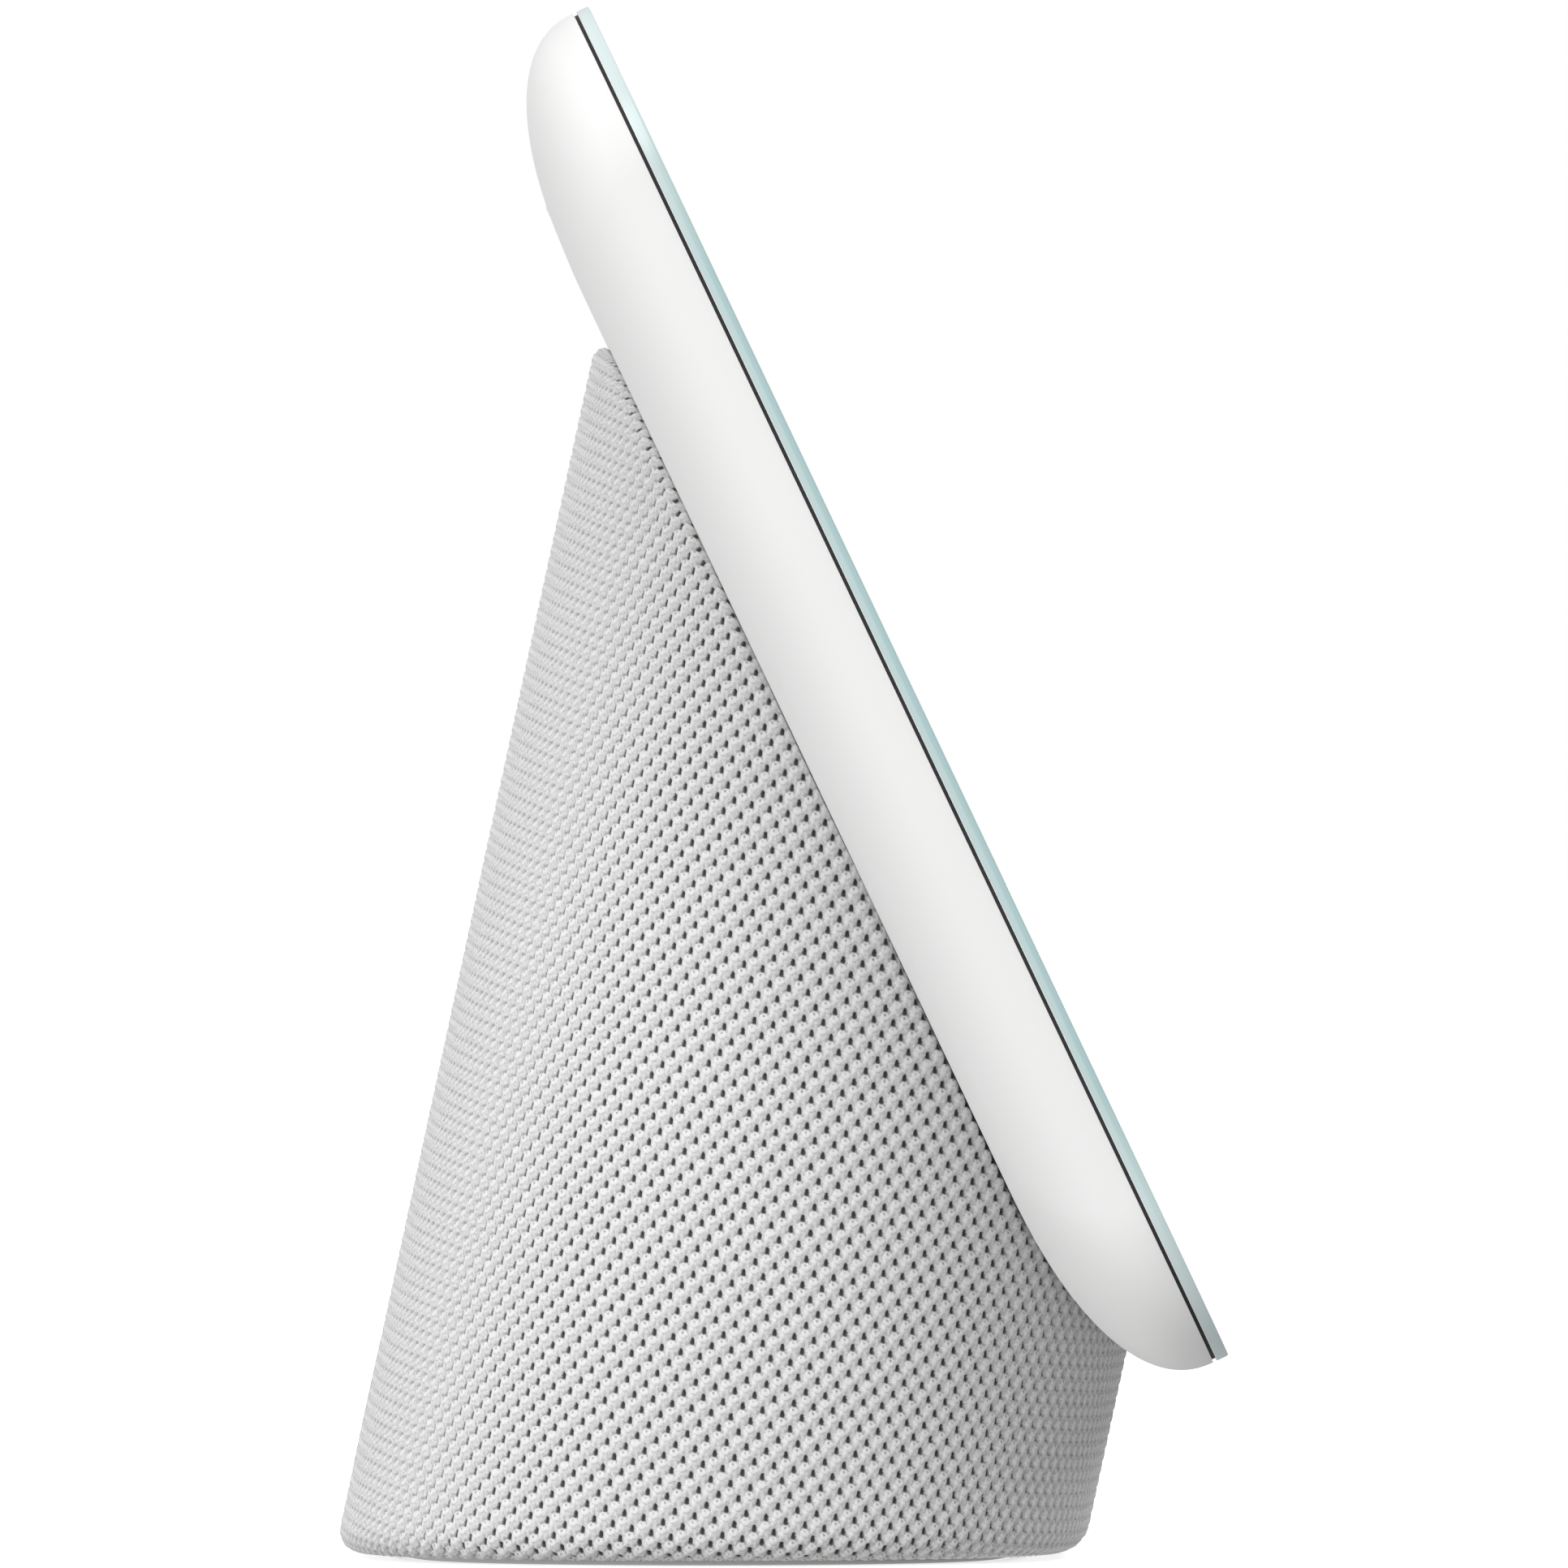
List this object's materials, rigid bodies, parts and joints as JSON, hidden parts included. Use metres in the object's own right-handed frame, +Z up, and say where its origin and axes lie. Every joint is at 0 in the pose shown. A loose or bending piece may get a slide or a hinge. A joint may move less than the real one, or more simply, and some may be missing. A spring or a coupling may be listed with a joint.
{
  "type": "smart display speaker",
  "caption": "Smart speaker with a tilted touch screen on a leaning, knit-covered speaker base; sliding microphone switch and volume rocker on the rear.",
  "frame": {"origin": "centre of the object's outline seen from above, on the table under the foot", "axes": "+Z up, -Y towards the person in front of the screen, +X to that person's right"},
  "size_m": [0.1784, 0.0675, 0.1179],
  "materials": {
    "screen_glass": "clear cover glass over a dark screen, satin ground edge",
    "black_gasket": "matte black adhesive gasket",
    "display_panel": "dark glossy panel",
    "reflector_foil": "silvered film",
    "aluminium_sheet": "pressed sheet",
    "circuit_board": "green solder mask",
    "steel": "plated steel",
    "copper": "bare copper",
    "black_plastic": "moulded black plastic",
    "white_plastic": "fine satin white moulded plastic",
    "knit_fabric": "open mesh knit of pale grey polyester",
    "grey_rubber": "matte grey silicone",
    "black_rubber": "matte black rubber",
    "paper_cone": "treated black paper",
    "magnet": "sintered ferrite"
  },
  "bodies": {
    "root": {"aerial_left": "copper", "aerial_right": "copper", "backlight_unit": "reflector_foil", "base_plate": "black_plastic", "base_screw_1": "steel", "base_screw_2": "steel", "base_screw_3": "steel", "base_screw_4": "steel", "cover_glass": "screen_glass", "dc_inlet": "black_plastic", "dc_inlet_ring": "grey_rubber", "display_flex": "copper", "driver_back_plate": "steel", "driver_basket": "steel", "driver_front_plate": "steel", "driver_gasket": "black_rubber", "driver_magnet": "magnet", "driver_spider": "paper_cone", "driver_surround": "black_rubber", "fabric_sleeve": "knit_fabric", "frame_screw_1": "steel", "frame_screw_2": "steel", "frame_screw_3": "steel", "frame_screw_4": "steel", "glass_gasket": "black_gasket", "head_cable": "black_rubber", "lcd_panel": "display_panel", "light_sensor": "black_plastic", "main_board": "circuit_board", "mic_switch_body": "black_plastic", "microphone_left": "steel", "microphone_right": "steel", "mid_frame": "aluminium_sheet", "neck_bracket": "steel", "neck_screw_1": "steel", "neck_screw_2": "steel", "neck_screw_3": "steel", "neck_screw_4": "steel", "power_board": "circuit_board", "rear_housing": "white_plastic", "rubber_foot": "grey_rubber", "sensor_board": "circuit_board", "shield_can": "steel", "speaker_enclosure": "black_plastic", "speaker_lead": "black_rubber", "volume_board": "circuit_board", "volume_switch_down": "black_plastic", "volume_switch_up": "black_plastic"},
    "mic_switch": {"mic_switch": "white_plastic"},
    "volume_rocker": {"volume_rocker": "white_plastic"},
    "cone": {"driver_cone": "paper_cone", "driver_dust_cap": "black_rubber", "driver_voice_coil": "copper"}
  },
  "joints": [
    {"name": "mic_switch_slide", "type": "slide", "parent": "root", "child": "mic_switch", "axis": [1, 0, 0], "range_m": [0, 0.002]},
    {"name": "volume_rock", "type": "hinge", "parent": "root", "child": "volume_rocker", "pos_m": [0.08125, 0.00541, 0.07556], "axis": [0.9686, -0.2247, 0.1067], "range_deg": [-1.5, 1.5], "stiffness_Nm_per_rad": 0.5},
    {"name": "cone_travel", "type": "slide", "parent": "root", "child": "cone", "axis": [0, 0.9775, 0.2109], "range_m": [-0.0012, 0.0012], "stiffness_N_per_m": 900}
  ]
}
